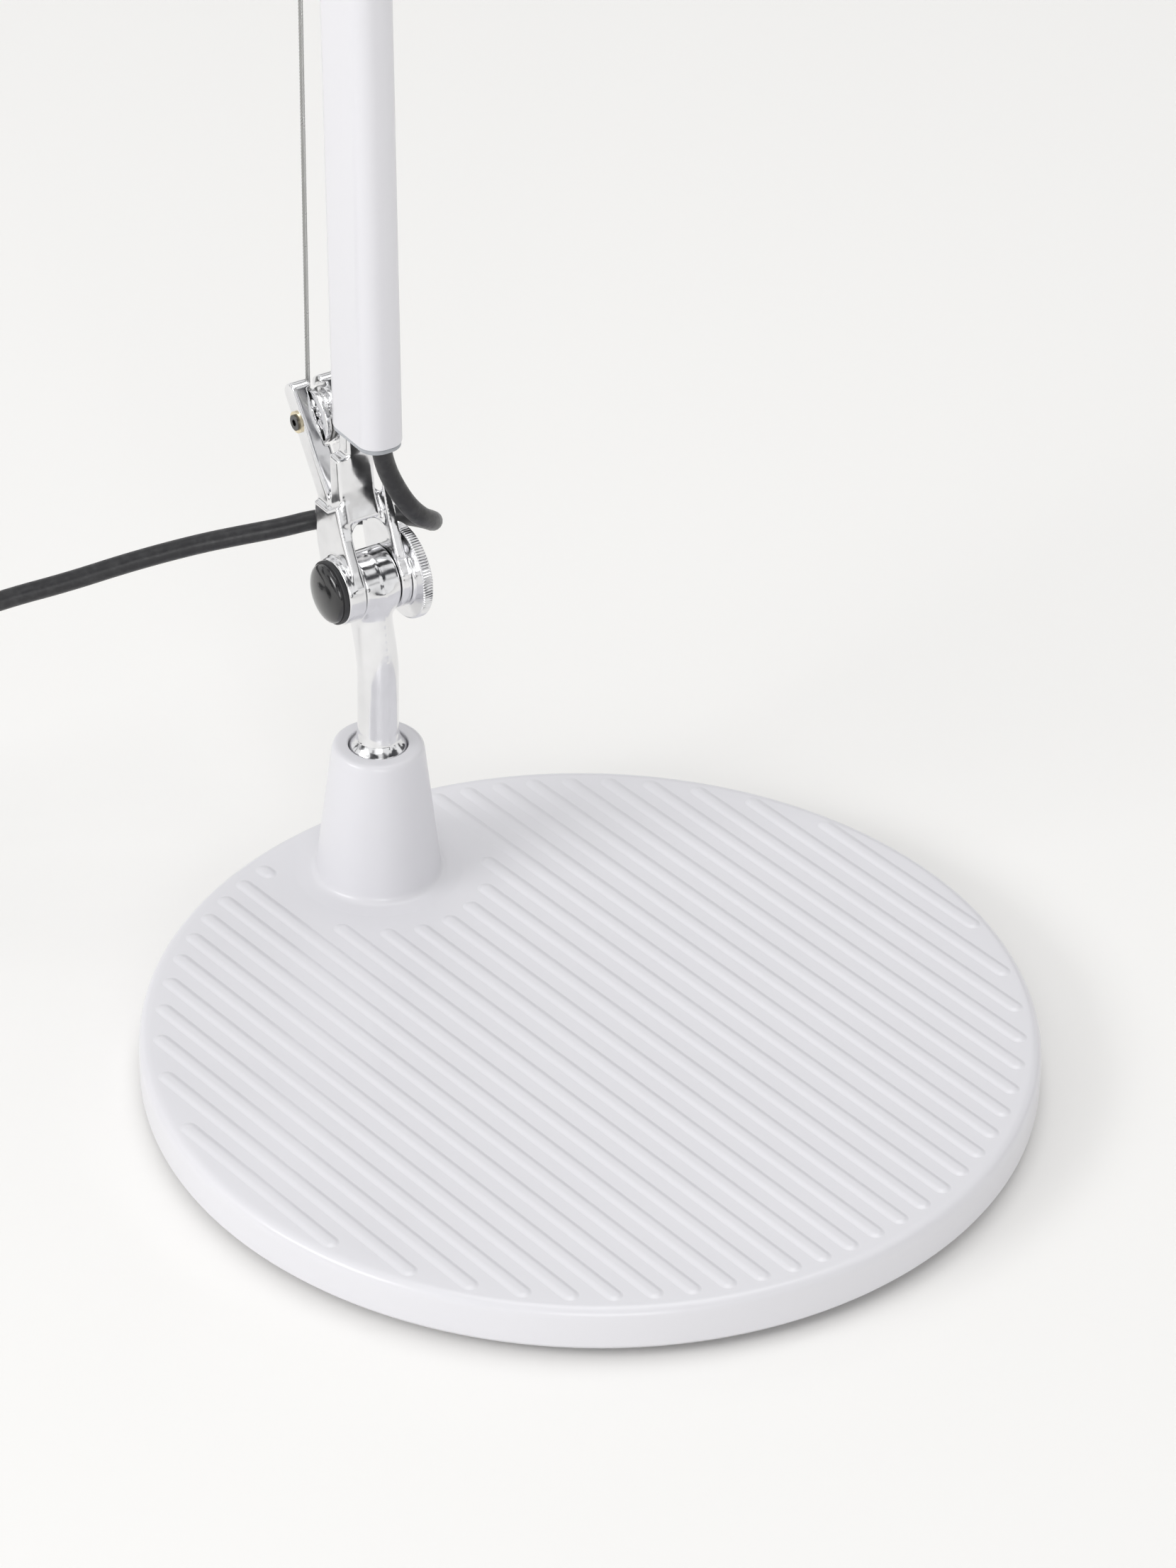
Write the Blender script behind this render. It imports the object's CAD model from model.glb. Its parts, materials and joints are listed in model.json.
"""Adjustable arm floor lamp: detailed pieces, finishes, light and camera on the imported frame.

Lengths are in millimetres until they are placed; the placed pieces are in metres in the row frame.
"""

import json
from math import asin, atan2, cos, hypot, pi, radians, sin, sqrt

import bmesh
import bpy
import numpy as np
from mathutils import Matrix, Vector


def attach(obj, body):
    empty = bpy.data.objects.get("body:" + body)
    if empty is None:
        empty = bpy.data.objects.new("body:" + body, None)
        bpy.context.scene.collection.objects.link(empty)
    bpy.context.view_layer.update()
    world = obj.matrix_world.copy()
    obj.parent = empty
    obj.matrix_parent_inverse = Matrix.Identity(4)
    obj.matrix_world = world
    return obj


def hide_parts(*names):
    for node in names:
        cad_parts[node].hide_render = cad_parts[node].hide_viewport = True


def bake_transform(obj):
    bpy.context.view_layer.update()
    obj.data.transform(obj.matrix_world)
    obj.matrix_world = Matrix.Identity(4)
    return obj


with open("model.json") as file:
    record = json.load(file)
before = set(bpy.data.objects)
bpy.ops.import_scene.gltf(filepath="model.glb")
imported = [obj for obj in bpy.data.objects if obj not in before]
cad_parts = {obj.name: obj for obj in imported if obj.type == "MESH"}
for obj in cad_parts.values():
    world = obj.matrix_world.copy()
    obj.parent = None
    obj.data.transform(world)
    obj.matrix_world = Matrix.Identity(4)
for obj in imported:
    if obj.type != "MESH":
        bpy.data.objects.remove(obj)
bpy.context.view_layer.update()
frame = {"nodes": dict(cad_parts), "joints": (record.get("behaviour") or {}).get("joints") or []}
MM = 0.001

# ---- camera --------------------------------------------------------------------------------------------

view = bpy.data.objects.new("camera", bpy.data.cameras.new("camera"))
bpy.context.scene.collection.objects.link(view)
back = Vector((0.692, -0.449, 0.565)).normalized()
right = Vector((0.5446, 0.8387, 0)).normalized()
up = back.cross(right)
roll = radians(1.29)
across = right * cos(roll) + up * sin(roll)
upward = up * cos(roll) - right * sin(roll)
facing = Matrix((across, upward, back)).transposed().to_4x4()
view.matrix_world = Matrix.Translation((0.98795, -0.64379, 0.89627)) @ facing
view.data.sensor_width = 36
view.data.lens = 132.46
view.data.clip_end = 20
bpy.context.scene.camera = view
bpy.context.scene.view_settings.view_transform = "Standard"

# ---- where things are ----------------------------------------------------------------------------------

pins = {j["name"]: Vector(j["pos_m"]) / MM for j in frame["joints"] if "pos_m" in j}
PIVOT, ELBOW, HEAD = pins["lower_pivot"], pins["elbow"], pins["head_tilt"]
STEM = pins["stem_swivel"]
LOWER = (ELBOW - PIVOT).length
UPPER = (HEAD - ELBOW).length
# Sizes that several pieces share, in millimetres.
TUBE_GAP, UPPER_GAP, TIP_GAP = 44.5, 40.0, 34.0
TUBE_AHEAD = 1.7
BASE_TOP, BASE_R, BOSS_TOP = 14.5, 115, 54.5
RIB_COUNT, RIB_PITCH, RIB_W, RIB_H = 27, 8.16, 4.6, 0.42
RIB_END_R, RIB_BOSS_GAP, RIB_ANGLE = 110.5, 28, 7.55
BOSS_OFFSET = 87.66
STEM_LEAN = -5.0
EYE_R, EYE_HALF = 8.6, 5.05
EAR_R, EAR_IN, EAR_OUT, EAR_THICK_OUT = 8.9, 5.2, 8.3, 10.3
PULLEY_AT, PULLEY_R, CABLE_WRAP_R = (-21.9, 38.4), 7.4, 6.6
DRUM_R, DRUM_WRAP_R = 12.2, 11.0
CABLE_R, CABLE_LAY = 0.62, 5.5
WHEEL_R, WHEEL_TEETH, TOOTH_DEPTH = 12.8, 108, 0.3


def spot(origin, axis, ahead=(1, 0, 0)):
    """Millimetres in a local frame to the row frame: local z is the axis and local x is near ahead."""
    v = Vector(axis).normalized()
    u = Vector(ahead)
    u = (u - u.dot(v) * v).normalized()
    w = v.cross(u)
    turned = Matrix((u, w, v)).transposed().to_4x4()
    return Matrix.Translation(Vector(origin) * MM) @ turned @ Matrix.Scale(MM, 4)


lower = spot(PIVOT, ELBOW - PIVOT)
elbow_down = spot(ELBOW, PIVOT - ELBOW)
upper = spot(ELBOW, HEAD - ELBOW, (0, 0, -1))
head = spot(HEAD, (0, 0, -1))
stem = spot((STEM.x, STEM.y, 0), (0, 0, 1))

# ---- finishes ------------------------------------------------------------------------------------------


class Finish:
    """A procedural material: its shader and the node tree that feeds it."""

    def __init__(self, name, colour, rough, metal=0.0, **sockets):
        self.material = bpy.data.materials.new(name)
        self.material.use_nodes = True
        self.tree = self.material.node_tree
        self.shader = self.tree.nodes["Principled BSDF"]
        self.shader.inputs["Base Color"].default_value = (*colour, 1)
        self.shader.inputs["Roughness"].default_value = rough
        self.shader.inputs["Metallic"].default_value = metal
        for socket, value in sockets.items():
            self.shader.inputs[socket.replace("_", " ")].default_value = value
        self.place = self.tree.nodes.new("ShaderNodeTexCoord").outputs["Object"]

    def noise(self, scale, detail=3.0, stretch=(1, 1, 1)):
        mapping = self.tree.nodes.new("ShaderNodeMapping")
        mapping.inputs["Scale"].default_value = stretch
        self.tree.links.new(self.place, mapping.inputs["Vector"])
        node = self.tree.nodes.new("ShaderNodeTexNoise")
        node.inputs["Scale"].default_value = scale
        node.inputs["Detail"].default_value = detail
        self.tree.links.new(mapping.outputs["Vector"], node.inputs["Vector"])
        return node.outputs["Fac"]

    def colour(self, source, dark, light, low=0.3, high=0.7):
        ramp = self.tree.nodes.new("ShaderNodeValToRGB")
        ramp.color_ramp.elements[0].position = low
        ramp.color_ramp.elements[1].position = high
        ramp.color_ramp.elements[0].color = (*dark, 1)
        ramp.color_ramp.elements[1].color = (*light, 1)
        self.tree.links.new(source, ramp.inputs["Fac"])
        self.tree.links.new(ramp.outputs["Color"], self.shader.inputs["Base Color"])

    def rough(self, source, low, high, start=0.3, end=0.7):
        span = self.tree.nodes.new("ShaderNodeMapRange")
        span.inputs["From Min"].default_value = start
        span.inputs["From Max"].default_value = end
        span.inputs["To Min"].default_value = low
        span.inputs["To Max"].default_value = high
        self.tree.links.new(source, span.inputs["Value"])
        self.tree.links.new(span.outputs["Result"], self.shader.inputs["Roughness"])

    def bump(self, *layers):
        normal = None
        for source, distance, strength in layers:
            node = self.tree.nodes.new("ShaderNodeBump")
            node.inputs["Distance"].default_value = distance
            node.inputs["Strength"].default_value = strength
            self.tree.links.new(source, node.inputs["Height"])
            if normal:
                self.tree.links.new(normal, node.inputs["Normal"])
            normal = node.outputs["Normal"]
        self.tree.links.new(normal, self.shader.inputs["Normal"])


def painted(name, texture):
    f = Finish(name, (0.75, 0.745, 0.775), 0.3, Coat_Weight=0.25, Coat_Roughness=0.12)
    f.colour(f.noise(18, 1), (0.74, 0.735, 0.765), (0.76, 0.755, 0.785), 0.2, 0.8)
    f.rough(f.noise(40, 1), 0.3, 0.36, 0.2, 0.8)
    f.bump((f.noise(520, 0), 0.0003, texture))
    return f.material


def polished(name, colour, low, high):
    f = Finish(name, colour, low, 1.0)
    f.colour(f.noise(160), [c * 0.94 for c in colour], colour)
    f.rough(f.noise(420, 4), low, high)
    f.bump((f.noise(120, 1), 0.0005, 0.1), (f.noise(700, 1, (1, 1, 0.1)), 0.00005, 0.1))
    return f.material


def plastic(name, colour, low, high, grain, coat=0.0):
    f = Finish(name, colour, low, Coat_Weight=coat, Coat_Roughness=0.05)
    f.colour(f.noise(200), [c * 0.85 for c in colour], [c * 1.1 for c in colour])
    f.rough(f.noise(700), low, high)
    f.bump((f.noise(3200, 2), 0.00008, grain))
    return f.material


def cord_finish():
    f = Finish("cord_black", (0.012, 0.012, 0.014), 0.4, Coat_Weight=0.15, Coat_Roughness=0.3)
    f.colour(f.noise(420, 5), (0.008, 0.008, 0.01), (0.03, 0.03, 0.032), 0.45, 0.8)
    f.rough(f.noise(800, 4), 0.3, 0.52)
    f.bump((f.noise(260, 3), 0.0004, 0.25), (f.noise(2200, 3), 0.0001, 0.4))
    return f.material


def opal_glass():
    f = Finish("bulb", (0.93, 0.92, 0.89), 0.12, Coat_Weight=0.6, Coat_Roughness=0.03)
    f.colour(f.noise(35), (0.90, 0.89, 0.86), (0.95, 0.94, 0.92))
    f.rough(f.noise(300), 0.08, 0.16)
    f.bump((f.noise(45, 1), 0.0006, 0.08))
    return f.material


finishes = {
    "white_paint": painted("white_paint", 0.03),
    "white_paint_tube": painted("white_paint_tube", 0.02),
    "white_paint_shade": painted("white_paint_shade", 0.02),
    "polished": polished("polished", (0.86, 0.86, 0.87), 0.08, 0.2),
    "steel": polished("steel", (0.62, 0.62, 0.62), 0.2, 0.32),
    "cable": polished("cable", (0.48, 0.48, 0.47), 0.25, 0.4),
    "spring": polished("spring", (0.5, 0.5, 0.5), 0.28, 0.42),
    "brass": polished("brass", (0.86, 0.76, 0.55), 0.22, 0.34),
    "rubber_pad": plastic("rubber_pad", (0.03, 0.03, 0.032), 0.7, 0.9, 0.6),
    "nylon": plastic("nylon", (0.8, 0.79, 0.73), 0.4, 0.5, 0.2),
    "grey_plastic": plastic("grey_plastic", (0.40, 0.415, 0.44), 0.42, 0.55, 0.3),
    "black_plastic": plastic("black_plastic", (0.012, 0.012, 0.013), 0.12, 0.22, 0.1, 0.6),
    "cord_black": cord_finish(),
    "bulb": opal_glass(),
}
matt_black = plastic("black_matt", (0.022, 0.022, 0.024), 0.42, 0.55, 0.4)

# ---- making meshes -------------------------------------------------------------------------------------


def built(name, verts, faces, where, body, slot, stands_for=(), sharp=32, rides=True):
    """A smooth-shaded piece from local points and faces, placed and riding on its body."""
    mesh = bpy.data.meshes.new(name)
    mesh.from_pydata([where @ Vector(v) for v in verts], [], [list(map(int, f)) for f in faces])
    mesh.validate()
    bm = bmesh.new()
    bm.from_mesh(mesh)
    bmesh.ops.remove_doubles(bm, verts=bm.verts, dist=1e-7)
    bmesh.ops.recalc_face_normals(bm, faces=bm.faces)
    bm.to_mesh(mesh)
    bm.free()
    mesh.polygons.foreach_set("use_smooth", [True] * len(mesh.polygons))
    mesh.set_sharp_from_angle(angle=radians(sharp))
    piece = bpy.data.objects.new(name, mesh)
    bpy.context.scene.collection.objects.link(piece)
    mesh.materials.append(finishes[slot])
    if stands_for:
        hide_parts(*stands_for)
    if rides:
        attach(piece, body)
    return piece


def softened(points, radius, steps=4):
    """An open outline with its inner corners rounded; a point may carry its own radius."""
    out = [tuple(points[0][:2])]
    for before, here, after in zip(points, points[1:], points[2:]):
        p, q, r = (Vector(x[:2]) for x in (before, here, after))
        reach = here[2] if len(here) > 2 else radius
        a, b = (p - q), (r - q)
        if reach <= 0 or a.length < 1e-6 or b.length < 1e-6:
            out.append(tuple(q))
            continue
        angle = a.angle(b)
        slope = max(sin(angle / 2) / max(cos(angle / 2), 1e-6), 1e-6)
        cut = min(reach / slope, 0.45 * a.length, 0.45 * b.length)
        s, e = q + a.normalized() * cut, q + b.normalized() * cut
        for k in range(steps + 1):
            t = k / steps
            out.append(tuple(s * (1 - t) ** 2 + q * 2 * t * (1 - t) + e * t * t))
    out.append(tuple(points[-1][:2]))
    return out


def lathe(profile, segments=96, shape=None):
    """Points and faces of a turned form about local z. shape(angle, r) may change the radius."""
    verts, faces, rings = [], [], []
    for r, h in profile:
        if r < 1e-6:
            rings.append([len(verts)])
            verts.append((0, 0, h))
            continue
        ring = []
        for i in range(segments):
            a = 2 * pi * i / segments
            rr = shape(a, r) if shape else r
            ring.append(len(verts))
            verts.append((rr * cos(a), rr * sin(a), h))
        rings.append(ring)
    for one, two in zip(rings, rings[1:]):
        for i in range(segments):
            j = (i + 1) % segments
            quad = [one[i % len(one)], one[j % len(one)], two[j % len(two)], two[i % len(two)]]
            quad = list(dict.fromkeys(quad))
            if len(quad) > 2:
                faces.append(quad)
    return verts, faces


def merged(*parts):
    verts, faces = [], []
    for v, f in parts:
        n = len(verts)
        verts += list(v)
        faces += [[i + n for i in face] for face in f]
    return verts, faces


def moved(part, matrix):
    return [tuple(matrix @ Vector(v)) for v in part[0]], part[1]


def swept(path, outline, twist=0.0):
    """Points and faces of an outline carried along a path, with closed ends; twist is turns per unit."""
    path = [Vector(p) for p in path]
    verts, faces = [], []
    direction = (path[1] - path[0]).normalized()
    side = direction.orthogonal().normalized()
    n, gone = len(outline), 0.0
    for i, p in enumerate(path):
        ahead = (path[min(i + 1, len(path) - 1)] - path[max(i - 1, 0)]).normalized()
        side = (side - side.dot(ahead) * ahead).normalized()
        other = ahead.cross(side)
        if i:
            gone += (p - path[i - 1]).length
        a = 2 * pi * twist * gone
        for x, y in outline:
            verts.append(p + (side * (x * cos(a) - y * sin(a)) + other * (x * sin(a) + y * cos(a))))
    for i in range(len(path) - 1):
        for j in range(n):
            m = (j + 1) % n
            faces.append([i * n + j, i * n + m, (i + 1) * n + m, (i + 1) * n + j])
    faces.append(list(range(n)))
    faces.append(list(range((len(path) - 1) * n, len(path) * n)))
    return verts, faces


def circle(radius, n):
    return [(radius * cos(2 * pi * i / n), radius * sin(2 * pi * i / n)) for i in range(n)]


# ---- castings, as distance fields turned into meshes -----------------------------------------------------


def both(a, b, r=0.0):
    """Inside both, with the shared edge rounded."""
    return np.minimum(np.maximum(a + r, b + r), 0) + np.hypot(np.maximum(a + r, 0), np.maximum(b + r, 0)) - r


def fused(k, *fields):
    """Inside any of the fields, with the joins filled over a width of about k."""
    out = fields[0]
    for f in fields[1:]:
        h = np.clip(0.5 + 0.5 * (f - out) / k, 0, 1)
        out = f * (1 - h) + out * h - k * h * (1 - h)
    return out


def less(a, b, k=0.4):
    """Inside the first field and outside the second."""
    return -fused(k, -a, b)


def span(c, low, high):
    return np.abs(c - (low + high) / 2) - (high - low) / 2


def disc(a, b, c, at, radius, low, high, r=0.5):
    return both(np.hypot(a - at[0], b - at[1]) - radius, span(c, low, high), r)


def block(a, b, c, sa, sb, sc, r=0.5):
    return both(both(span(a, *sa), span(b, *sb), r), span(c, *sc), r)


def plate(points, a, b, c, low, high, r=0.5):
    """A flat shape from its outline in a and b, and its thickness in c."""
    best, inside = None, None
    for p, q in zip(points, points[1:] + points[:1]):
        ex, ey = q[0] - p[0], q[1] - p[1]
        t = np.clip(((a - p[0]) * ex + (b - p[1]) * ey) / (ex * ex + ey * ey), 0, 1)
        d = np.hypot(a - p[0] - t * ex, b - p[1] - t * ey)
        best = d if best is None else np.minimum(best, d)
        if abs(ey) > 1e-9:
            hit = ((b >= min(p[1], q[1])) & (b < max(p[1], q[1]))) & (a < p[0] + (b - p[1]) * ex / ey)
            inside = hit if inside is None else inside ^ hit
    return both(np.where(inside, -best, best), span(c, low, high), r)


def netted(low, high, step, field):
    """Points and quads of the surface where the field is zero, one point to a grid cell."""
    axes = [np.arange(a, b + step, step) for a, b in zip(low, high)]
    f = field(axes[0][:, None, None], axes[1][None, :, None], axes[2][None, None, :])
    f = np.broadcast_to(f, [len(x) for x in axes])
    dims = np.array(f.shape)
    ids, crossings, quads = [], [], []
    for k in range(3):
        lo = [slice(None)] * 3
        hi = [slice(None)] * 3
        lo[k], hi[k] = slice(0, -1), slice(1, None)
        a, b = f[tuple(lo)], f[tuple(hi)]
        at = np.argwhere((a < 0) != (b < 0))
        va, vb = a[tuple(at.T)], b[tuple(at.T)]
        where = at.astype(float)
        where[:, k] += va / (va - vb)
        m, n = (k + 1) % 3, (k + 2) % 3
        corners = []
        for dm, dn in ((0, 0), (1, 0), (1, 1), (0, 1)):
            cell = at.copy()
            cell[:, m] -= dm
            cell[:, n] -= dn
            corners.append(np.ravel_multi_index(np.clip(cell, 0, dims - 1).T, dims))
            crossings.append(where)
        quad = np.stack(corners, 1)
        quad[va > vb] = quad[va > vb][:, ::-1]
        ids += corners
        quads.append(quad)
    ids, crossings, quads = np.concatenate(ids), np.concatenate(crossings), np.concatenate(quads)
    cells, index = np.unique(ids, return_inverse=True)
    count = np.bincount(index)
    points = np.stack([np.bincount(index, crossings[:, k]) / count for k in range(3)], 1)
    look = np.searchsorted(cells, quads)
    for _ in range(2):
        total = np.zeros_like(points)
        number = np.zeros(len(points))
        for i in range(4):
            np.add.at(total, look[:, i], points[look[:, (i + 1) % 4]] + points[look[:, (i + 3) % 4]])
            np.add.at(number, look[:, i], 2)
        points = points * 0.4 + total / number[:, None] * 0.6
    return [tuple(p) for p in points * step + np.array(low)], [tuple(q) for q in look]


# ---- cords ---------------------------------------------------------------------------------------------

CORD_D = 5.2
COIL = (-231.0, -245.5)
PLUG = Vector((-265.5, -166.0, 6.8))
PLUG_AIM = Vector((cos(radians(92)), sin(radians(92)), 0))

route = [
    (-85.7, -11.5, 149.0),
    (-85.6, -11.2, 144.0),
    (-85.2, -9.9, 138.0),
    (-84.4, -7.3, 131.6),
    (-83.8, -3.9, 125.6),
    (-84.6, 0.3, 120.8),
    (-87.4, 4.9, 117.0),
    (-92.6, 8.4, 112.9),
    (-99.0, 9.7, 109.9),
    (-105.4, 7.6, 108.2),
    (-110.5, 2.4, 107.4),
    (-114.3, -4.8, 107.2),
    (-117.1, -13.1, 107.1),
    (-120.3, -20.7, 105.3),
    (-124.3, -29.1, 103.8),
    (-129.9, -40.3, 101.4),
    (-137.3, -55.9, 97.0),
    (-144.5, -71.1, 91.6),
    (-151.9, -86.2, 87.2),
    (-162.9, -107.5, 78.0),
    (-174.9, -129.5, 62.0),
    (-186.9, -150.5, 40.0),
    (-192.5, -167.5, 21.0),
    (-196.5, -186.0, 7.0),
    (-197.9, -205.0, 2.6),
    (-197.5, -225.5, 2.6),
]

# The put-away length: a turn's radius and height, from the outer turn on the floor upwards.
turns = [
    (33.8, 2.6), (28.4, 2.6), (28.3, 7.8), (33.7, 7.8),
    (33.5, 13.0), (28.5, 13.0), (28.4, 18.1), (33.4, 18.1),
]
PER_TURN = 16
for k in range(1, 15 * PER_TURN // 2 + 1):
    turn, part = divmod(k, PER_TURN)
    now = turns[turn]
    after = turns[min(turn + 1, len(turns) - 1)]
    ease = max(0.0, (part / PER_TURN - 0.7) / 0.3)
    ease = ease * ease * (3 - 2 * ease)
    r = now[0] + (after[0] - now[0]) * ease
    z = now[1] + (after[1] - now[1]) * ease
    angle = -2 * pi * k / PER_TURN
    route.append((COIL[0] + r * cos(angle), COIL[1] + r * sin(angle), z))
tail = PLUG - PLUG_AIM * 20
route += [(-264.9, -238.0, 18.1), (-265.0, -231.0, 16.6), (-264.9, -224.0, 11.6), (-264.8, -217.0, 8.0)]
route += [tuple(tail - PLUG_AIM * 24), tuple(tail - PLUG_AIM * 12), tuple(tail + PLUG_AIM * 4)]


def nurbs_line(points, resolution=6):
    """The smooth line of a NURBS curve with these control points, in metres."""
    curve = bpy.data.curves.new("line", "CURVE")
    curve.dimensions = "3D"
    curve.resolution_u = resolution
    spline = curve.splines.new("NURBS")
    spline.points.add(len(points) - 1)
    for point, at in zip(spline.points, points):
        point.co = (*(Vector(at) * MM), 1)
    spline.order_u = 3
    spline.use_endpoint_u = True
    holder = bpy.data.objects.new("line", curve)
    bpy.context.scene.collection.objects.link(holder)
    mesh = bpy.data.meshes.new_from_object(holder)
    line = [v.co.copy() for v in mesh.vertices]
    bpy.data.meshes.remove(mesh)
    bpy.data.objects.remove(holder)
    bpy.data.curves.remove(curve)
    return line


line = nurbs_line(route)
behind_fork = Vector((-114.3, -4.8, 107.2)) * MM
split = min(range(len(line)), key=lambda i: (line[i] - behind_fork).length)
identity = Matrix.Identity(4)
section = circle(CORD_D / 2 * MM, 16)

part = line[: split + 1]
cord_drop = built(
    "mains_cord_drop", *swept(part, section), identity, None, "cord_black", ["mains_cord"], rides=False
)
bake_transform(cord_drop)

part = line[split:]
cord_run = built(
    "mains_cord_run",
    *swept(part, section),
    identity,
    None,
    "cord_black",
    ["mains_cord", "cord_coil"],
    rides=False,
)
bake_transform(cord_run)

lead_points = [lower @ Vector(p) / MM for p in ((8, 0, LOWER - 49.5), (8, 0, LOWER - 38), (8, 0, LOWER - 28))]
lead_points += [lower @ Vector((9.5, 0, LOWER - 20)) / MM, upper @ Vector((9.5, 0, 20)) / MM]
lead_points += [upper @ Vector(p) / MM for p in ((6, 0, 28), (6, 0, 36), (6, 0, 45))]
lead_line = nurbs_line(lead_points)
elbow_cord = built(
    "elbow_cord", *swept(lead_line, section), identity, None, "cord_black", ["elbow_lead"], rides=False
)
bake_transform(elbow_cord)

# ---- plug ----------------------------------------------------------------------------------------------

plug_spot = spot((PLUG.x, PLUG.y, 0), (0, 0, 1), PLUG_AIM)
half = [(-20, -3.4), (-16, -8), (-6, -12.5), (16, -12.5)]
plug_outline = half + [(x, -y) for x, y in reversed(half)]


def plug_field(u, w, v):
    body = plate(plug_outline, u, w, v, 0.1, 13.5, 2.4)
    for i in range(5):
        groove = disc(u, np.abs(w), v, (-11 + 3.2 * i, 13.8 - 2.2 * max(0, 2 - i)), 1.3, 2, 11.6, 0.5)
        body = less(body, groove, 0.6)
    return less(body, block(u, w, v, (15.2, 18), (-15, 15), (6.5, 7.0), 0.1), 0.2)


plug = built("plug_body", *netted((-21, -13.2, -0.6), (17, 13.2, 14.2), 0.4, plug_field), plug_spot, "base",
             "black_plastic", ["mains_plug"])
plug.data.materials[0] = matt_black
relief_spot = spot(tail + PLUG_AIM * 1.5, -PLUG_AIM, (0, 0, 1))
relief_line = [(0, 0), (5.2, 0), (5.2, 3)]
for i in range(7):
    h = 3.6 + i * 3.4
    r = 4.9 - i * 0.24
    relief_line += [(r - 0.9, h), (r - 0.9, h + 0.9), (r, h + 1.3), (r - 0.1, h + 2.7)]
relief_line += [(3.0, 28.4), (2.7, 28.6), (2.4, 28.4), (0, 28.4)]
relief = built("plug_relief", *lathe(softened(relief_line, 0.3, 3), 48), relief_spot, "base", "black_plastic")
relief.data.materials[0] = matt_black
for side, node in ((-9.3, "plug_pin_left"), (9.3, "plug_pin_right")):
    where = plug_spot @ Matrix.Translation((15.9, side, 6.8)) @ Matrix.Rotation(pi / 2, 4, "Y")
    pin_line = [(0, 0), (2.0, 0, 0), (2.0, 9.2, 0), (1.85, 9.3, 0), (1.95, 9.7), (1.95, 19, 1.2), (0, 19)]
    outline = softened(pin_line, 0.2)
    built(node + "_turned", *lathe(outline, 32), where, "base", "steel", [node])

# ---- base ----------------------------------------------------------------------------------------------


def rib(x0, x1, y, width=RIB_W, height=RIB_H):
    """A soft raised bar with round ends, standing on the plate's top."""
    verts, faces = [], []
    rings = [
        (0.0, -0.15), (0.0, 0.0), (0.3, 0.07), (0.6, 0.22),
        (0.9, 0.38), (1.2, 0.5), (1.5, 0.57), (1.8, 0.6),
    ]
    turn = 8
    for inset, h in rings:
        r = width / 2 - inset
        for centre, start in ((x1 - width / 2, -pi / 2), (x0 + width / 2, pi / 2)):
            for i in range(turn + 1):
                a = start + pi * i / turn
                verts.append((centre + r * cos(a), y + r * sin(a), BASE_TOP + h / 0.6 * height))
    n = 2 * (turn + 1)
    for i in range(len(rings) - 1):
        for j in range(n):
            m = (j + 1) % n
            faces.append([i * n + j, i * n + m, (i + 1) * n + m, (i + 1) * n + j])
    faces.append(list(range(n))[::-1])
    faces.append(list(range((len(rings) - 1) * n, len(rings) * n)))
    return verts, faces


plate_line = softened(
    [
        (0, 2.1), (104, 2.1, 0), (104, 3.4, 0), (108.5, 3.4, 0), (109.0, 2.05, 0.2), (113.6, 2.05, 1.0),
        (BASE_R, 3.6, 1.2), (BASE_R, BASE_TOP, 3.4), (108, BASE_TOP, 0), (0, BASE_TOP),
    ],
    0.4,
    8,
)
ribs = []
for i in range(RIB_COUNT):
    y = (i - RIB_COUNT // 2) * RIB_PITCH
    reach = sqrt(RIB_END_R**2 - y**2)
    spans = [(-reach, reach)]
    if abs(y) < RIB_BOSS_GAP:
        clear = sqrt(RIB_BOSS_GAP**2 - y**2)
        spans = [(-reach, -BOSS_OFFSET - clear), (clear - BOSS_OFFSET, reach)]
    ribs += [rib(a, b, y) for a, b in spans if b - a > 6]
ribs = moved(merged(*ribs), Matrix.Rotation(radians(RIB_ANGLE), 4, "Z"))
boss_line = softened(
    [
        (23.4, 12.0, 0), (23.6, 14.46, 0), (21.5, 14.52, 0), (16.7, 14.9, 5.6), (12.0, BOSS_TOP, 2.4),
        (7.9, BOSS_TOP, 0.5), (7.9, 51.1, 0.3), (6.0, 51.1, 0), (6.0, 49.0),
    ],
    0.4,
    8,
)
boss = moved(lathe(boss_line, 128), Matrix.Translation((STEM.x, STEM.y, 0)))
base = merged(lathe(plate_line, 256), ribs, boss)
built("base_plate", *base, Matrix.Scale(MM, 4), "base", "white_paint", ["base_casting"], sharp=50)

pad_line = softened(
    [
        (0, 0.05), (40, 0.05, 0), (40, 0.5, 0), (42, 0.5, 0), (42, 0.05, 0), (86, 0.05, 0),
        (86, 0.5, 0), (88, 0.5, 0), (88, 0.05, 0), (111, 0.05, 0.5), (111, 1.98, 0.3), (0, 1.98),
    ],
    0.3,
)
built("base_pad_ring", *lathe(pad_line, 192), Matrix.Scale(MM, 4), "base", "rubber_pad", ["base_pad"])

# ---- stem ----------------------------------------------------------------------------------------------


def stem_field(u, w, v):
    flare = np.interp(v, [52.0, 53.9, 54.5, 55.2, 56.4, 58.5], [7.6, 7.55, 7.0, 6.45, 5.8, 5.42])
    rise = np.clip((v - 76) / 24, 0, 1)
    rise = rise * rise * (3 - 2 * rise)
    half_u, half_w = flare + rise * 2.6, flare - rise * 0.55
    centre = STEM_LEAN * rise
    shaft = (np.sqrt(((u - centre) / half_u) ** 2 + (w / half_w) ** 2) - 1) * np.minimum(half_u, half_w)
    shaft = both(shaft, span(v, 51.2, 102), 0.2)
    knuckle = disc(u, v, w, (STEM_LEAN, PIVOT.z), EYE_R, -EYE_HALF, EYE_HALF, 0.55)
    seam = 0.16 * np.exp(-((w / 0.32) ** 2)) * (u > centre) * (v > 56)
    return fused(2.4, shaft, knuckle) - seam


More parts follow.
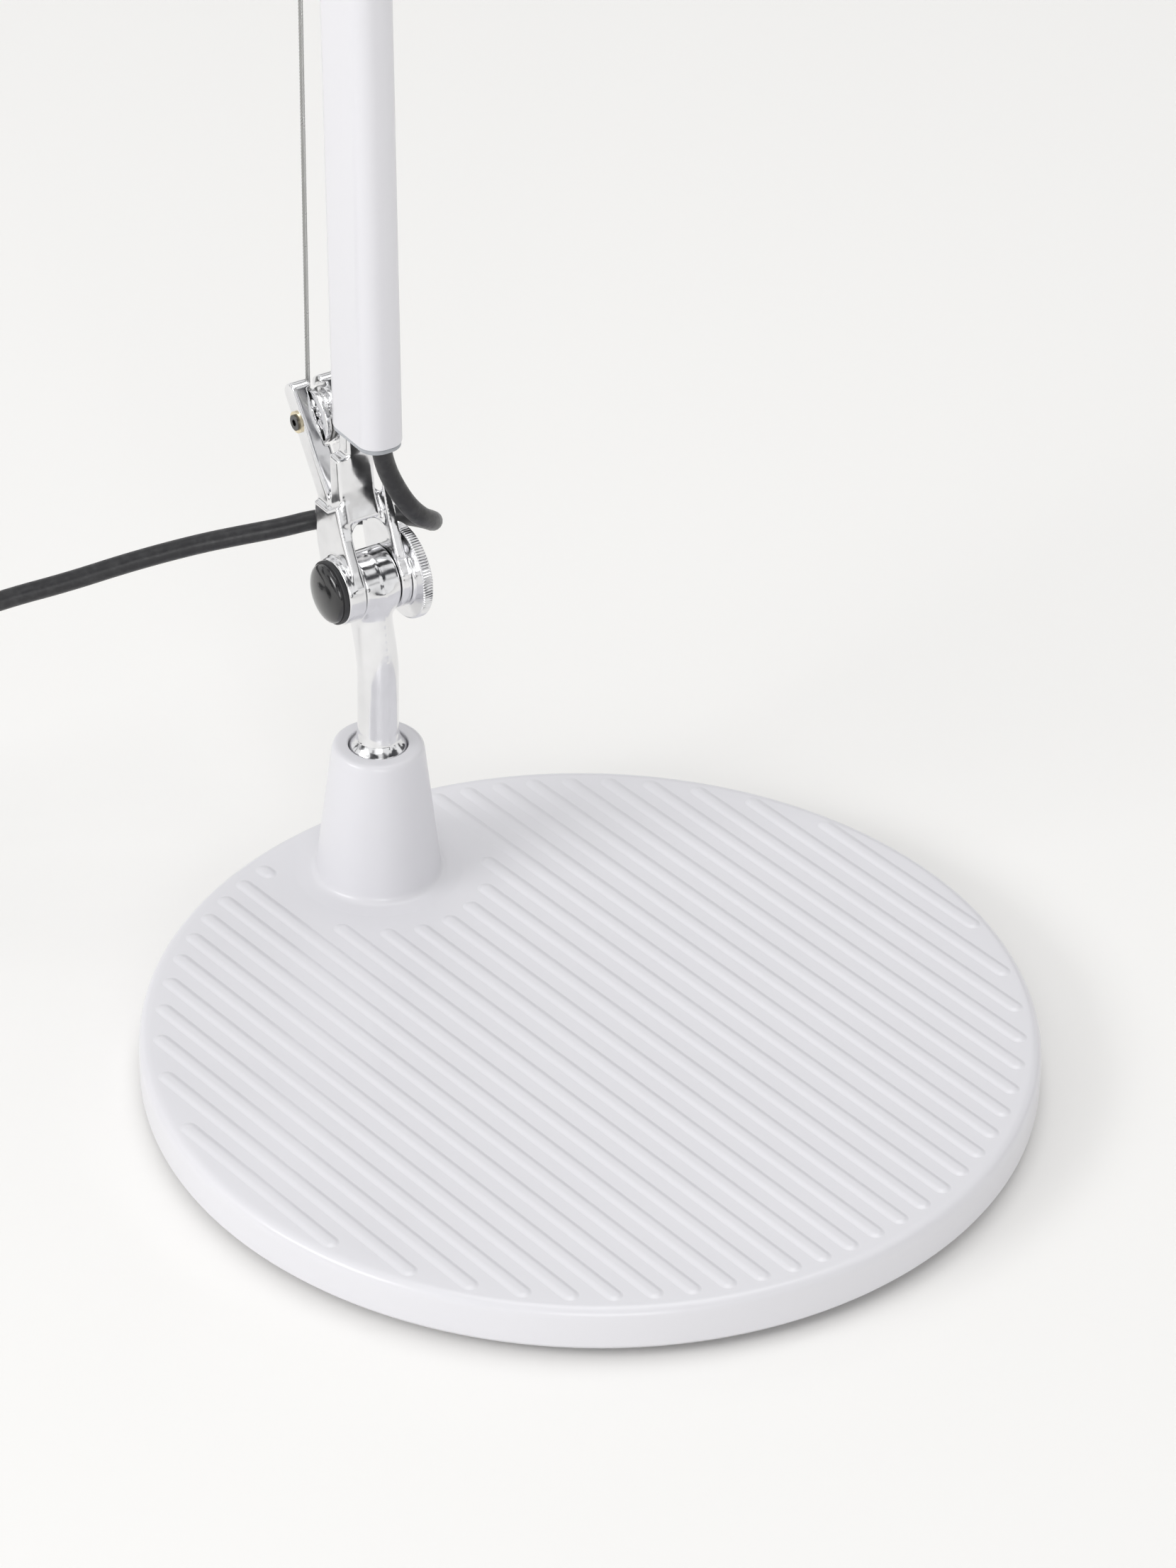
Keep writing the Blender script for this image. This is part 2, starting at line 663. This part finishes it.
tenon = lathe([(0, 3.0), (4.5, 3.0), (4.5, 51.4), (0, 51.4)], 48)
post = merged(netted((-15.5, -9.5, 50.4), (9.5, 9.5, 111.5), 0.3, stem_field), tenon)
built("stem_casting", *post, stem, "stem", "polished", ["stem_post"], sharp=60)

# ---- forks ---------------------------------------------------------------------------------------------


def cast(node, low, high, step, field, where, body):
    """A polished casting made from its field, in place of the node of that name."""
    skin = netted(low, high, step, field)
    return built(node + "_casting", *skin, where, body, "polished", [node], sharp=60)


def fork_field(u, w, v, back, tang_end, low_out, high_out):
    """Two ears, two blades and a crown over an arch, with a tang that enters the tube."""
    blade = [
        (8.2, 3.5), (2.2, 15.0), (-1.0, 23.5), (-5.5, 20.5),
        (-back, 20.5), (-back + 0.8, 9.0), (-8.8, -1.0), (0.0, 0.0),
    ]
    crown = [(1.6, 12.0), (0.6, 17.5), (-2.2, 24.0), (-6.9, 24.0), (-back, 20.5), (-back + 0.8, 12.0)]
    low_ear = disc(u, v, w, (0, 0), EAR_R, -low_out, -EAR_IN, 0.6)
    high_ear = disc(u, v, w, (0, 0), EAR_R, EAR_IN, high_out, 0.6)
    ears = np.minimum(low_ear, high_ear)
    low_blade = plate(blade, u, v, w, -EAR_OUT, -EAR_IN, 0.45)
    high_blade = plate(blade, u, v, w, EAR_IN, EAR_OUT, 0.45)
    blades = np.minimum(low_blade, high_blade)
    top = plate(crown, u, v, w, -5.4, 5.4, 0.1)
    arch = np.where(v > 13.3, np.hypot(w, v - 13.3) - 5.2, np.abs(w) - 5.2)
    solid = less(fused(1.0, fused(0.8, ears, blades), top), both(arch, -9.0 - u, 1.0), 0.35)
    tang = block(u, w, v, (-6.9, -2.2), (-3.6, 3.6), (18.2, tang_end), 0.7)
    return fused(0.5, solid, tang)


def lower_fork_field(u, w, v):
    """The fork with its front web and the slotted bracket that holds the pulley."""
    solid = fork_field(u, w, v, 12.3, 69.5, EAR_THICK_OUT, EAR_OUT)
    along = (-0.5713, 0.8209)
    s = (u + 17.24) * along[0] + (v - 31.97) * along[1]
    t = (u + 17.24) * along[1] - (v - 31.97) * along[0]
    bars = both(both(span(s, -18.0, 18.0), span(t, -2.85, 2.85), 2.5), np.abs(w) - 6.85, 0.7)
    web_line = [(-6.9, 19.0), (0.6, 19.0), (-1.4, 27.0), (-2.2, 36.0), (-6.9, 36.0)]
    web = plate(web_line, u, v, w, -6.6, 3.6, 0.8)
    tip = plate([(6.4, 8.0), (2.6, 17.0), (-0.6, 27.5), (-3.4, 19.0)], u, v, w, 5.2, 7.6, 0.4)
    solid = fused(1.0, fused(1.4, solid, web), bars, tip)
    gap_line = [(-14.5, 24.5), (-6.9, 24.5), (-6.9, 60.0), (-45.0, 60.0), (-45.0, 50.0)]
    solid = less(solid, plate(gap_line, u, v, w, -1.45, 1.45, 0.1), 0.4)
    solid = less(solid, disc(u, v, w, PULLEY_AT, 8.1, -2.8, 2.8, 0.1), 0.4)
    return less(solid, disc(u, v, w, PULLEY_AT, 1.5, -8, 8, 0.1), 0.15)


def elbow_fork_field(u, w, v):
    return fork_field(u, w, v, 9.0, 69.5, EAR_OUT, EAR_THICK_OUT)


cast("lower_fork", (-32, -11.4, -10), (10, 9.4, 71), 0.3, lower_fork_field, lower, "lower_arm")
cast("elbow_fork", (-14, -9.4, -10), (10, 11.4, 71), 0.36, elbow_fork_field, elbow_down, "lower_arm")


def knuckle_field(u, w, v):
    solid = disc(u, v, w, (0, 0), EYE_R, -EYE_HALF, EYE_HALF, 0.55)
    solid = fused(0.5, solid, disc(u, v, w, (0, 0), DRUM_R, -2.2, 2.2, 0.4))
    web = plate([(-5.5, 0.0), (5.5, 0.0), (3.2, 24.0), (3.2, 32.0), (-5.5, 32.0)], u, v, w, -4.4, 4.4, 0.8)
    solid = fused(1.2, solid, web)
    solid = less(solid, np.hypot(np.hypot(u, v) - 11.4, w) - 1.0, 0.2)
    return fused(0.4, solid, block(u, w, v, (-6.0, -1.4), (-3.6, 3.6), (30, 66), 0.7))


def eye_field(u, w, v):
    solid = disc(u, v, w, (0, UPPER), EYE_R, -EYE_HALF, EYE_HALF, 0.55)
    solid = fused(1.6, solid, block(u, w, v, (-4.2, 4.2), (-4.4, 4.4), (UPPER - 27, UPPER - 4), 0.9))
    return fused(0.4, solid, block(u, w, v, (-3.0, 3.0), (-3.6, 3.6), (UPPER - 60, UPPER - 26), 0.6))


def head_fork_field(u, w, v):
    side = np.abs(w)
    leg = block(u, v, side, (-6.5, 6.5), (0, 18), (EAR_IN, EAR_OUT), 0.6)
    ears = fused(1.0, disc(u, v, side, (0, 0), EAR_R, EAR_IN, EAR_OUT, 0.5), leg)
    bar = block(u, v, w, (-6.5, 6.5), (12.5, 20), (-EAR_OUT, EAR_OUT), 0.8)
    foot = disc(u, w, v, (0, 0), 9.5, 18, 23.9, 0.5)
    return fused(0.8, fused(1.4, ears, bar, foot), disc(u, w, v, (0, 0), 5.0, 18, 30, 0.4))


cast("upper_knuckle", (-13.5, -6, -13.5), (13.5, 6, 67), 0.36, knuckle_field, upper, "upper_arm")
cast("head_eye", (-9.5, -6, UPPER - 61), (9.5, 6, UPPER + 9.5), 0.36, eye_field, upper, "upper_arm")
cast("head_fork", (-10.5, -10.5, -10), (10.5, 10.5, 31), 0.36, head_fork_field, head, "head")

# ---- pulley --------------------------------------------------------------------------------------------

pulley = lower @ Matrix.Translation((PULLEY_AT[0], 0, PULLEY_AT[1]))


def pulley_field(u, w, v):
    """A grooved wheel with a bored hub and nine shallow pockets in each face."""
    radius, turn = np.hypot(u, v), np.arctan2(v, u)
    body = both(radius - PULLEY_R, np.abs(w) - 2.5, 0.35)
    body = less(body, np.hypot(radius - 6.9, w) - 0.95, 0.2)
    groove = both(radius - 8.5, np.abs(w) - (0.7 + 0.5 * np.clip(radius - CABLE_WRAP_R, 0, 1)), 0.05)
    body = less(body, groove + np.where(radius < 6.0, 9.0, 0.0), 0.1)
    pocket = both(both(radius - 5.1, 2.7 - radius, 0.1), 1.5 - np.abs(w), 0.1)
    spokes = np.abs(((turn / (2 * pi) * 9) % 1) - 0.5) * radius * 2 * pi / 9 - 0.45
    pocket = both(pocket, -spokes, 0.2)
    return less(less(body, pocket, 0.2), radius - 1.53, 0.1)


built("pulley_wheel", *netted((-8, -3, -8), (8, 3, 8), 0.17, pulley_field), pulley, "pulley", "polished",
      ["cable_pulley"], sharp=60)

# ---- caps and hand wheels --------------------------------------------------------------------------------

cap_line = [(5.0, 1.0), (5.0, 0.05), (8.5, 0.05, 0.25), (8.5, 1.2, 0.35), (7.9, 1.25, 0), (7.9, 1.6)]
dome = [(7.9 * cos(a * pi / 24), 1.7 + 2.35 * sin(a * pi / 24)) for a in range(1, 13)]
cap_line = softened(cap_line, 0.2) + dome
rim = 0.95


def wheel_shape(angle, r):
    grip = max(0.0, min(1.0, (r - 12.2) / 0.4))
    return r - TOOTH_DEPTH * grip * (0.5 - 0.5 * cos(WHEEL_TEETH * angle)) ** 0.7


wheel_line = softened(
    [
        (3.1, 4.0), (3.1, 0.05, 0.2), (8.9, 0.05, 0.3), (9.3, 0.45, 0.2), (9.3, 0.7, 0.15), (11.6, rim, 0.2),
        (12.45, rim, 0.1), (WHEEL_R, rim + 0.35, 0.12), (WHEEL_R, rim + 2.55, 0.12), (12.4, rim + 2.9, 0.12),
        (11.8, rim + 3.25, 0.3), (10.2, rim + 3.3, 0.3), (9.6, rim + 2.9, 0.2), (7.0, rim + 2.95, 0.2),
        (6.2, rim + 3.7, 0.4), (0, rim + 3.85),
    ],
    0.2,
    3,
)
for name, at, body, wheel_body, out in (
    ("lower", PIVOT, "lower_arm", "lower_wheel", EAR_THICK_OUT),
    ("elbow", ELBOW, "lower_arm", "elbow_wheel", EAR_THICK_OUT),
    ("head", HEAD, "head", "head_wheel", EAR_OUT),
):
    where = spot(at + Vector((0, -out, 0)), (0, -1, 0))
    cap = built(
        name + "_cap_dome", *lathe(cap_line, 96), where, body, "black_plastic", [name + "_cap"], sharp=40
    )
    cap.data.materials.append(matt_black)
    for face in cap.data.polygons:
        if (cap.data.vertices[face.vertices[0]].co.y / MM) > at.y - out - 1.3:
            face.material_index = 1
    where = spot(at + Vector((0, EAR_OUT, 0)), (0, 1, 0))
    wheel = lathe(wheel_line, 6 * WHEEL_TEETH, wheel_shape)
    built(name + "_wheel_knurled", *wheel, where, wheel_body, "polished", [name + "_wheel"], sharp=40)

# ---- tubes and their plugs -------------------------------------------------------------------------------


def oval(inset, steps=10):
    """The tube's section, an inset inwards."""
    corner = 5.2 - inset
    out = []
    for cx, cy, start in ((5.8, 0.8, 0), (-5.8, 0.8, 90), (-5.8, -0.8, 180), (5.8, -0.8, 270)):
        for i in range(steps + 1):
            a = radians(start + 90 * i / steps)
            out.append((cx + corner * cos(a), cy + corner * sin(a)))
    return out


def tube(low, high):
    """A thin-walled oval tube with eased ends."""
    rings = [
        (0, low + 0.5), (0, high - 0.5), (0.12, high - 0.15), (0.4, high), (0.9, high),
        (1.2, high - 0.3), (1.2, low + 0.3), (0.9, low), (0.4, low), (0.12, low + 0.15),
    ]
    verts, faces = [], []
    n = len(oval(0))
    for inset, h in rings:
        verts += [(x, y, h) for x, y in oval(inset)]
    for i in range(len(rings)):
        k = (i + 1) % len(rings)
        for j in range(n):
            m = (j + 1) % n
            faces.append([i * n + j, i * n + m, k * n + m, k * n + j])
    return verts, faces


def carve(piece, verts, faces, where):
    """Cuts a closed shape out of a piece that already rides on its body."""
    mesh = bpy.data.meshes.new("cutter")
    mesh.from_pydata([where @ Vector(v) for v in verts], [], faces)
    bm = bmesh.new()
    bm.from_mesh(mesh)
    bmesh.ops.recalc_face_normals(bm, faces=bm.faces)
    bm.to_mesh(mesh)
    bm.free()
    cutter = bpy.data.objects.new("cutter", mesh)
    bpy.context.scene.collection.objects.link(cutter)
    modifier = piece.modifiers.new("cut", "BOOLEAN")
    modifier.operation = "DIFFERENCE"
    modifier.solver = "EXACT"
    modifier.object = cutter
    bpy.context.view_layer.update()
    result = bpy.data.meshes.new_from_object(piece.evaluated_get(bpy.context.evaluated_depsgraph_get()))
    piece.modifiers.remove(modifier)
    piece.data = result
    bpy.data.objects.remove(cutter)


lower_axis = lower @ Matrix.Translation((TUBE_AHEAD, 0, 0))
low_tube = built(
    "lower_tube_painted",
    *tube(TUBE_GAP, LOWER - TUBE_GAP),
    lower_axis,
    "lower_arm",
    "white_paint_tube",
    ["lower_tube"],
)
slot_outline = [(1.6 * cos(a), 1.6 * sin(a) + 50.9) for a in np.linspace(0, pi, 13)] + [(-1.6, -3), (1.6, -3)]
slot_verts = [(x, w, v + TUBE_GAP) for x in (-13, -6) for w, v in slot_outline]
slot_n = len(slot_outline)
slot_faces = [list(range(slot_n)), list(range(slot_n, 2 * slot_n))]
slot_faces += [[j, (j + 1) % slot_n, slot_n + (j + 1) % slot_n, slot_n + j] for j in range(slot_n)]
carve(low_tube, slot_verts, slot_faces, lower)
up_tube = tube(UPPER_GAP, UPPER - TIP_GAP)
built("upper_tube_painted", *up_tube, upper, "upper_arm", "white_paint_tube", ["upper_tube"])


def plug_lid(tang, cord_x, cable_slot):
    """The end plug's field: v is 0 at the tube's end and grows out of it."""

    def field(u, w, v):
        lip = both(both(span(u, -10.7, 10.7), span(w, -5.7, 5.7), 4.9), span(v, 0, 1.3), 0.35)
        skirt = both(both(span(u, -9.8, 9.8), span(w, -4.8, 4.8), 4.0), span(v, -5, 0.6), 0.1)
        solid = np.minimum(lip, skirt)
        tang_hole = block(u, w, v, (tang[0] - 0.05, tang[1] + 0.05), (-3.65, 3.65), (-9, 9), 0.3)
        solid = less(solid, tang_hole, 0.2)
        if cord_x is not None:
            solid = less(solid, np.hypot(u - cord_x, w) - 2.7, 0.25)
        if cable_slot:
            solid = less(solid, block(u, w, v, (-15, -7.0), (-1.6, 1.6), (-9, 9), 0.3), 0.2)
        return solid

    return netted((-11.4, -6.4, -5.6), (11.4, 6.4, 2.0), 0.22, field)


flip = Matrix.Rotation(pi, 4, "X")
upright = Matrix.Identity(4)
for name, axis, height, way, tang, cord_x, cable_slot, body in (
    ("lower_tube_plug", lower_axis, TUBE_GAP, flip, (-8.6, -3.9), 6.3, True, "lower_arm"),
    ("lower_tube_top_plug", lower_axis, LOWER - TUBE_GAP, upright, (-8.6, -3.9), 6.3, False, "lower_arm"),
    ("upper_tube_plug", upper, UPPER_GAP, flip, (-6.0, -1.4), 6.0, False, "upper_arm"),
    ("upper_tube_tip_plug", upper, UPPER - TIP_GAP, upright, (-3, 3), None, False, "upper_arm"),
):
    where = axis @ Matrix.Translation((0, 0, height)) @ way
    built(name + "_lip", *plug_lid(tang, cord_x, cable_slot), where, body, "grey_plastic", [name], sharp=50)

# ---- balance cable ---------------------------------------------------------------------------------------


def touching(point, centre, radius, side):
    """Where the line from a point touches a circle."""
    dx, dy = centre[0] - point[0], centre[1] - point[1]
    far = hypot(dx, dy)
    swing = side * asin(radius / far)
    run = sqrt(far**2 - radius**2) / far
    across, along = dx * cos(swing) - dy * sin(swing), dy * cos(swing) + dx * sin(swing)
    return (point[0] + run * across, point[1] + run * along)


def arc_points(centre, radius, start, end, n):
    return [(centre[0] + radius * cos(a), centre[1] + radius * sin(a)) for a in np.linspace(start, end, n)]


def divided(points, step):
    out = []
    for a, b in zip(points, points[1:]):
        n = max(1, int(hypot(b[0] - a[0], b[1] - a[1]) / step))
        out += [(a[0] + (b[0] - a[0]) * i / n, a[1] + (b[1] - a[1]) * i / n) for i in range(n)]
    return out + [points[-1]]


cable_foot, cable_top = (-2, 130), (-DRUM_WRAP_R, LOWER - 7)
front = touching(cable_foot, PULLEY_AT, CABLE_WRAP_R, 1)
rear = touching(cable_top, PULLEY_AT, CABLE_WRAP_R, -1)
a0 = atan2(front[1] - PULLEY_AT[1], front[0] - PULLEY_AT[0])
a1 = atan2(rear[1] - PULLEY_AT[1], rear[0] - PULLEY_AT[0])
a1 = a1 - 2 * pi if a1 > a0 else a1
cable_line = [cable_foot] + arc_points(PULLEY_AT, CABLE_WRAP_R, a0, a1, 30) + [cable_top]
strands = []
for a in np.linspace(0, 2 * pi, 24, endpoint=False):
    r = CABLE_R * (0.72 + 0.28 * abs(cos(3 * a)))
    strands.append((r * cos(a), r * sin(a)))
cable_line = [(u, 0, v) for u, v in divided(cable_line, 0.55)]
cable = swept(cable_line, strands, 1 / CABLE_LAY)
built("balance_cable_strands", *cable, lower, "lower_arm", "cable", ["balance_cable"], sharp=75)
drum = spot(ELBOW, (0, -1, 0))
wrap_arc = arc_points((0, 0), DRUM_WRAP_R, radians(80), radians(235), 80)
wrap = [(x, y, 0) for x, y in divided(wrap_arc, 0.8)]
cable = swept(wrap, strands, 1 / CABLE_LAY)
built("drum_cable_strands", *cable, drum, "upper_arm", "cable", ["drum_cable"], sharp=75)

# ---- head ------------------------------------------------------------------------------------------------

holder_line = softened(
    [
        (5.1, 24.05), (14.2, 24.05, 1.0), (17.0, 26.6, 1.4), (17.0, 42, 0), (16.6, 42.2, 0), (16.6, 42.9, 0),
        (17.0, 43.1, 0), (17.0, 44.6, 0), (16.6, 44.8, 0), (16.6, 45.5, 0), (17.0, 45.7, 0),
        (17.0, 54.0, 0.3),
        (21.5, 54.0, 0.6), (21.5, 56.0, 0.6), (17.0, 56.0, 0.3), (17.0, 58.0, 0.5), (15.45, 58.0, 0.3),
        (15.45, 27.2, 0.6), (13.8, 26.0, 0.5), (5.1, 26.0),
    ],
    0.3,
)
holder = lathe(holder_line + holder_line[:1], 128)
holder = built("shade_holder_turned", *holder, head, "shade", "black_plastic", ["shade_holder"], sharp=35)
hole = lathe([(0, -8), (3.55, -8), (3.55, 4), (0, 4)], 40)
button_spot = spot(HEAD + Vector((-17, 0, -34)), (-1, 0, 0), (0, 0, 1))
carve(holder, *hole, button_spot)
button_line = [(0, -4), (3.45, -4, 0.2), (3.45, 4.45, 0.7), (2.6, 4.5, 0.4), (2.2, 4.1, 0.5), (0, 4.0)]
button = lathe(softened(button_line, 0.4), 48)
built("switch_button_dished", *button, button_spot, "button", "grey_plastic", ["switch_button"])

shade_line = softened(
    [
        (17.05, 53.1, 0), (17.05, 53.0, 0), (22, 53.0, 0), (22.6, 53.25, 0), (24.6, 53.25, 0),
        (25.2, 53.0, 0), (30.2, 53.05, 2.2), (79.3, 165.4, 0), (79.5, 166.0, 0.2), (80.0, 166.6, 0.5),
        (80.0, 167.6, 0.5),
        (79.4, 168.0, 0.4), (78.6, 167.6, 0.4), (78.3, 166.2, 0.3), (29.4, 54.0, 1.6), (17.05, 54.0, 0),
    ],
    0.4,
    6,
)
shade = lathe(shade_line + shade_line[:1], 256)
built("shade_spun", *shade, head, "shade", "white_paint_shade", ["shade"], sharp=45)

socket_line = [(0, 62), (13.2, 62, 0.2), (13.2, 86, 0.4), (15.3, 86, 0.5), (15.3, 82, 0.2)]
for i in range(4):
    for r, h in ((14.8, 81.4), (14.8, 80.4), (15.3, 79.8), (15.3, 78.2)):
        socket_line.append((r, h - 4 * i, 0.15))
socket_line += [(15.3, 46.1, 0.3), (0, 46.1)]
socket = lathe(softened(socket_line, 0.2, 3), 96)
built("lamp_socket_ribbed", *socket, head, "shade", "black_plastic", ["lamp_socket"])

bulb_line = [(0, 89.0), (12.2, 89.0), (13.0, 89.6)]
for i in range(1, 15):
    t = i / 14
    bulb_line.append((13.0 + 14.5 * (1 - cos(pi * t)) / 2, 89.6 + 40.4 * t))
bulb_line += [(27.5 * cos(a), 130 + 27.5 * sin(a)) for a in np.linspace(0.06, pi / 2 - 0.03, 26)]
bulb_line.append((0, 157.5))
built("bulb_opal", *lathe(bulb_line, 128), head, "shade", "bulb", ["bulb_glass"], sharp=60)

# ---- what stays of the CAD model gets its finish -----------------------------------------------------------

for node in frame["nodes"].values():
    for slot in node.material_slots:
        slot.material = finishes[slot.material.name.split(".")[0]]
dark_steel = polished("dark_steel", (0.13, 0.13, 0.13), 0.25, 0.35)
frame["nodes"]["pulley_axle"].material_slots[0].material = dark_steel

# ---- floor and light ---------------------------------------------------------------------------------------

floor_mesh = bpy.data.meshes.new("floor")
floor_mesh.from_pydata([(-6, -6, 0), (6, -6, 0), (6, 6, 0), (-6, 6, 0)], [], [(0, 1, 2, 3)])
floor = bpy.data.objects.new("floor", floor_mesh)
bpy.context.scene.collection.objects.link(floor)
paper = Finish("floor_paper", (0.93, 0.922, 0.905), 0.8)
floor_mesh.materials.append(paper.material)


def softbox(name, at, aim, size, power):
    light = bpy.data.lights.new(name, "AREA")
    light.shape = "RECTANGLE"
    light.size, light.size_y = size
    light.energy = power
    lamp = bpy.data.objects.new(name, light)
    bpy.context.scene.collection.objects.link(lamp)
    lamp.location = at
    lamp.rotation_euler = (Vector(aim) - Vector(at)).to_track_quat("-Z", "Y").to_euler()


softbox("key", (-0.2, -1.9, 1.05), (-0.05, 0, 0.1), (1.1, 0.6), 14)
softbox("front", (1.7, -0.9, 0.8), (-0.05, 0, 0.1), (0.9, 0.7), 6.5)
softbox("top", (-0.3, 0.35, 2.2), (0.05, 0.05, 0.1), (1.2, 1.2), 9.3)

world = bpy.data.worlds.new("studio")
world.use_nodes = True
bpy.context.scene.world = world
sky = world.node_tree
shine = sky.nodes["Background"]
direction = sky.nodes.new("ShaderNodeTexCoord").outputs["Generated"]
patches = sky.nodes.new("ShaderNodeTexNoise")
patches.inputs["Scale"].default_value = 2.4
patches.inputs["Detail"].default_value = 1
sky.links.new(direction, patches.inputs["Vector"])
room = sky.nodes.new("ShaderNodeValToRGB")
room.color_ramp.elements[0].position = 0.43
room.color_ramp.elements[0].color = (0.06, 0.06, 0.065, 1)
room.color_ramp.elements[1].position = 0.5
room.color_ramp.elements[1].color = (1, 1, 1, 1)
sky.links.new(patches.outputs["Fac"], room.inputs["Fac"])
seen = sky.nodes.new("ShaderNodeLightPath").outputs["Is Camera Ray"]
plain = sky.nodes.new("ShaderNodeMix")
plain.data_type = "RGBA"
plain.inputs[7].default_value = (1, 0.995, 0.985, 1)
sky.links.new(seen, plain.inputs[0])
sky.links.new(room.outputs["Color"], plain.inputs[6])
sky.links.new(plain.outputs[2], shine.inputs["Color"])
shine.inputs["Strength"].default_value = 0.9
